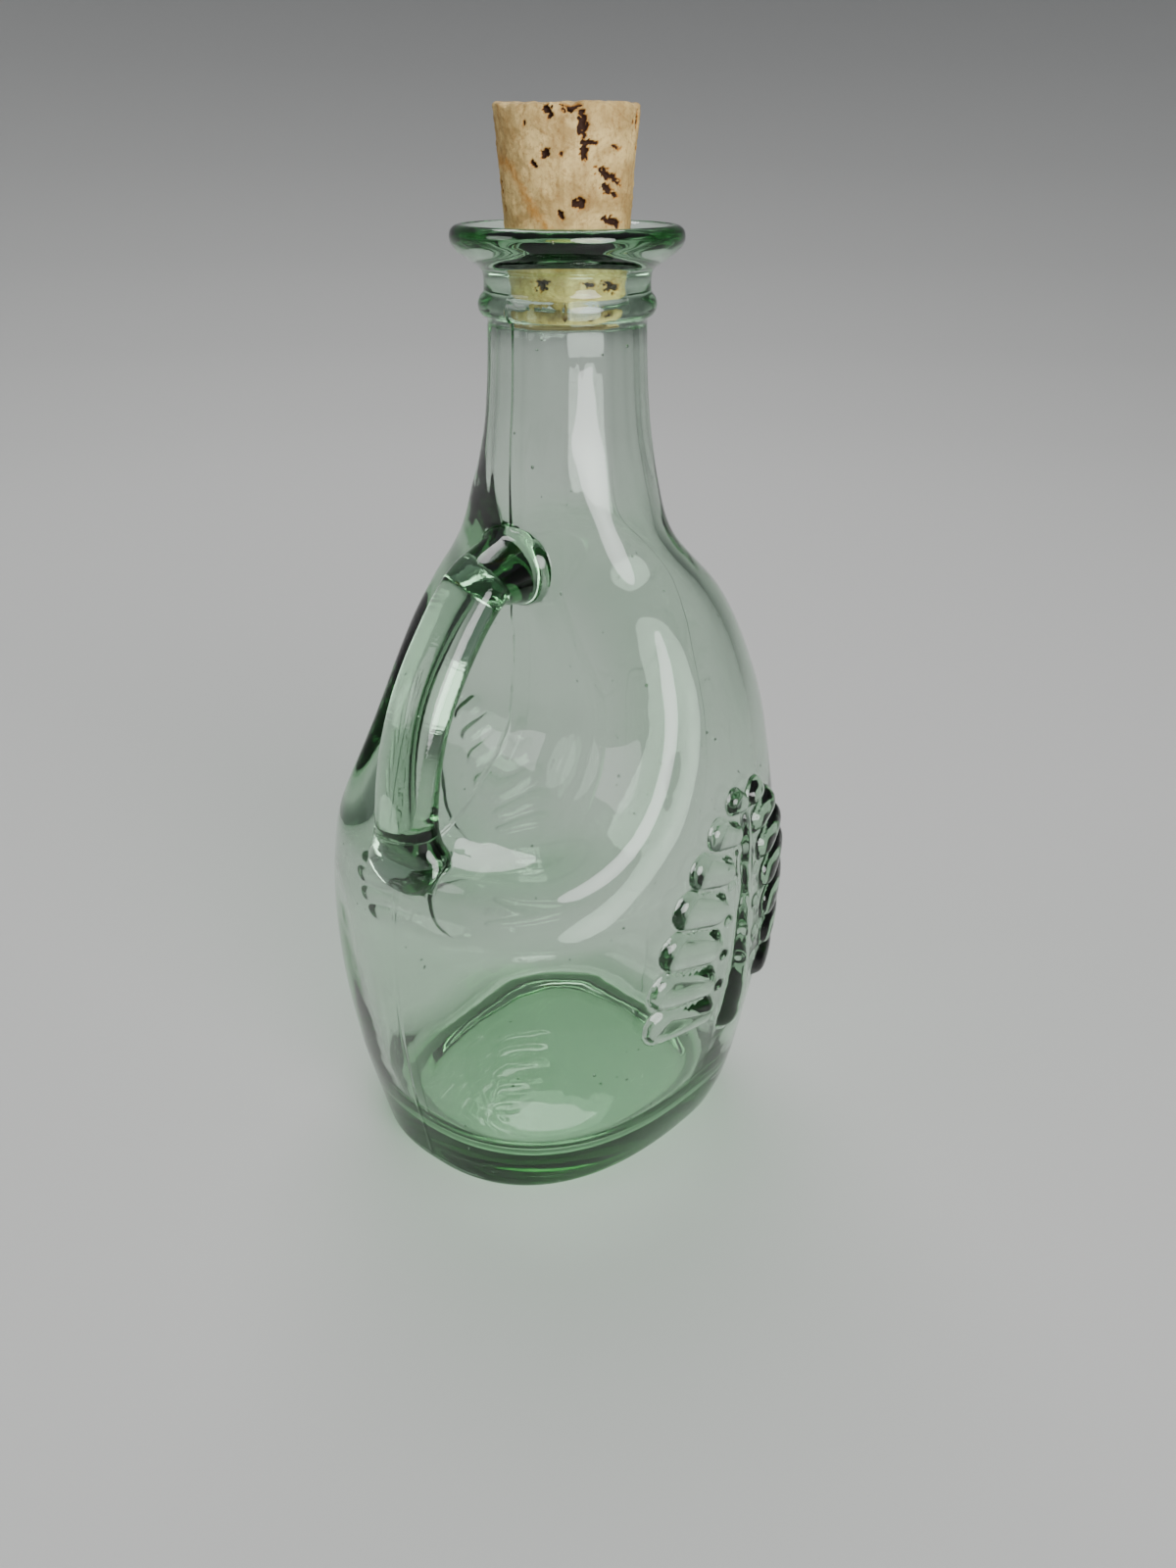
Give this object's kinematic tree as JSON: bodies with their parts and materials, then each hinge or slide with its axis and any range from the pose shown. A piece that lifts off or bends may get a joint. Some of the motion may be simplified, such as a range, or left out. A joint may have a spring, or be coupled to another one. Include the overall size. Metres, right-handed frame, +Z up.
{
  "type": "syrup jar",
  "caption": "Pale green glass syrup jug with a moulded neck, flared lip, scooped finger recess bridged by a handle, leaf relief and a tapered cork stopper.",
  "frame": {"origin": "middle of the jar's bounding box in plan, on the surface that the jar stands on; the neck's axis is 5.75 mm toward +X of it", "axes": "+Z up along the neck, -X toward the handle and its finger recess, leaf relief on the broad sides toward -Y and +Y"},
  "size_m": [0.0831, 0.0824, 0.1882],
  "materials": {
    "bottle_glass": "glossy",
    "handle_glass": "glossy",
    "natural_cork": "matte"
  },
  "bodies": {
    "jar": {"jar_body": "bottle_glass", "jar_handle": "handle_glass"},
    "cork": {"cork_stopper": "natural_cork"}
  },
  "joints": [
    {"name": "cork_pull", "type": "slide", "parent": "jar", "child": "cork", "axis": [0, 0, 1], "range_m": [0, 0.0129]}
  ]
}
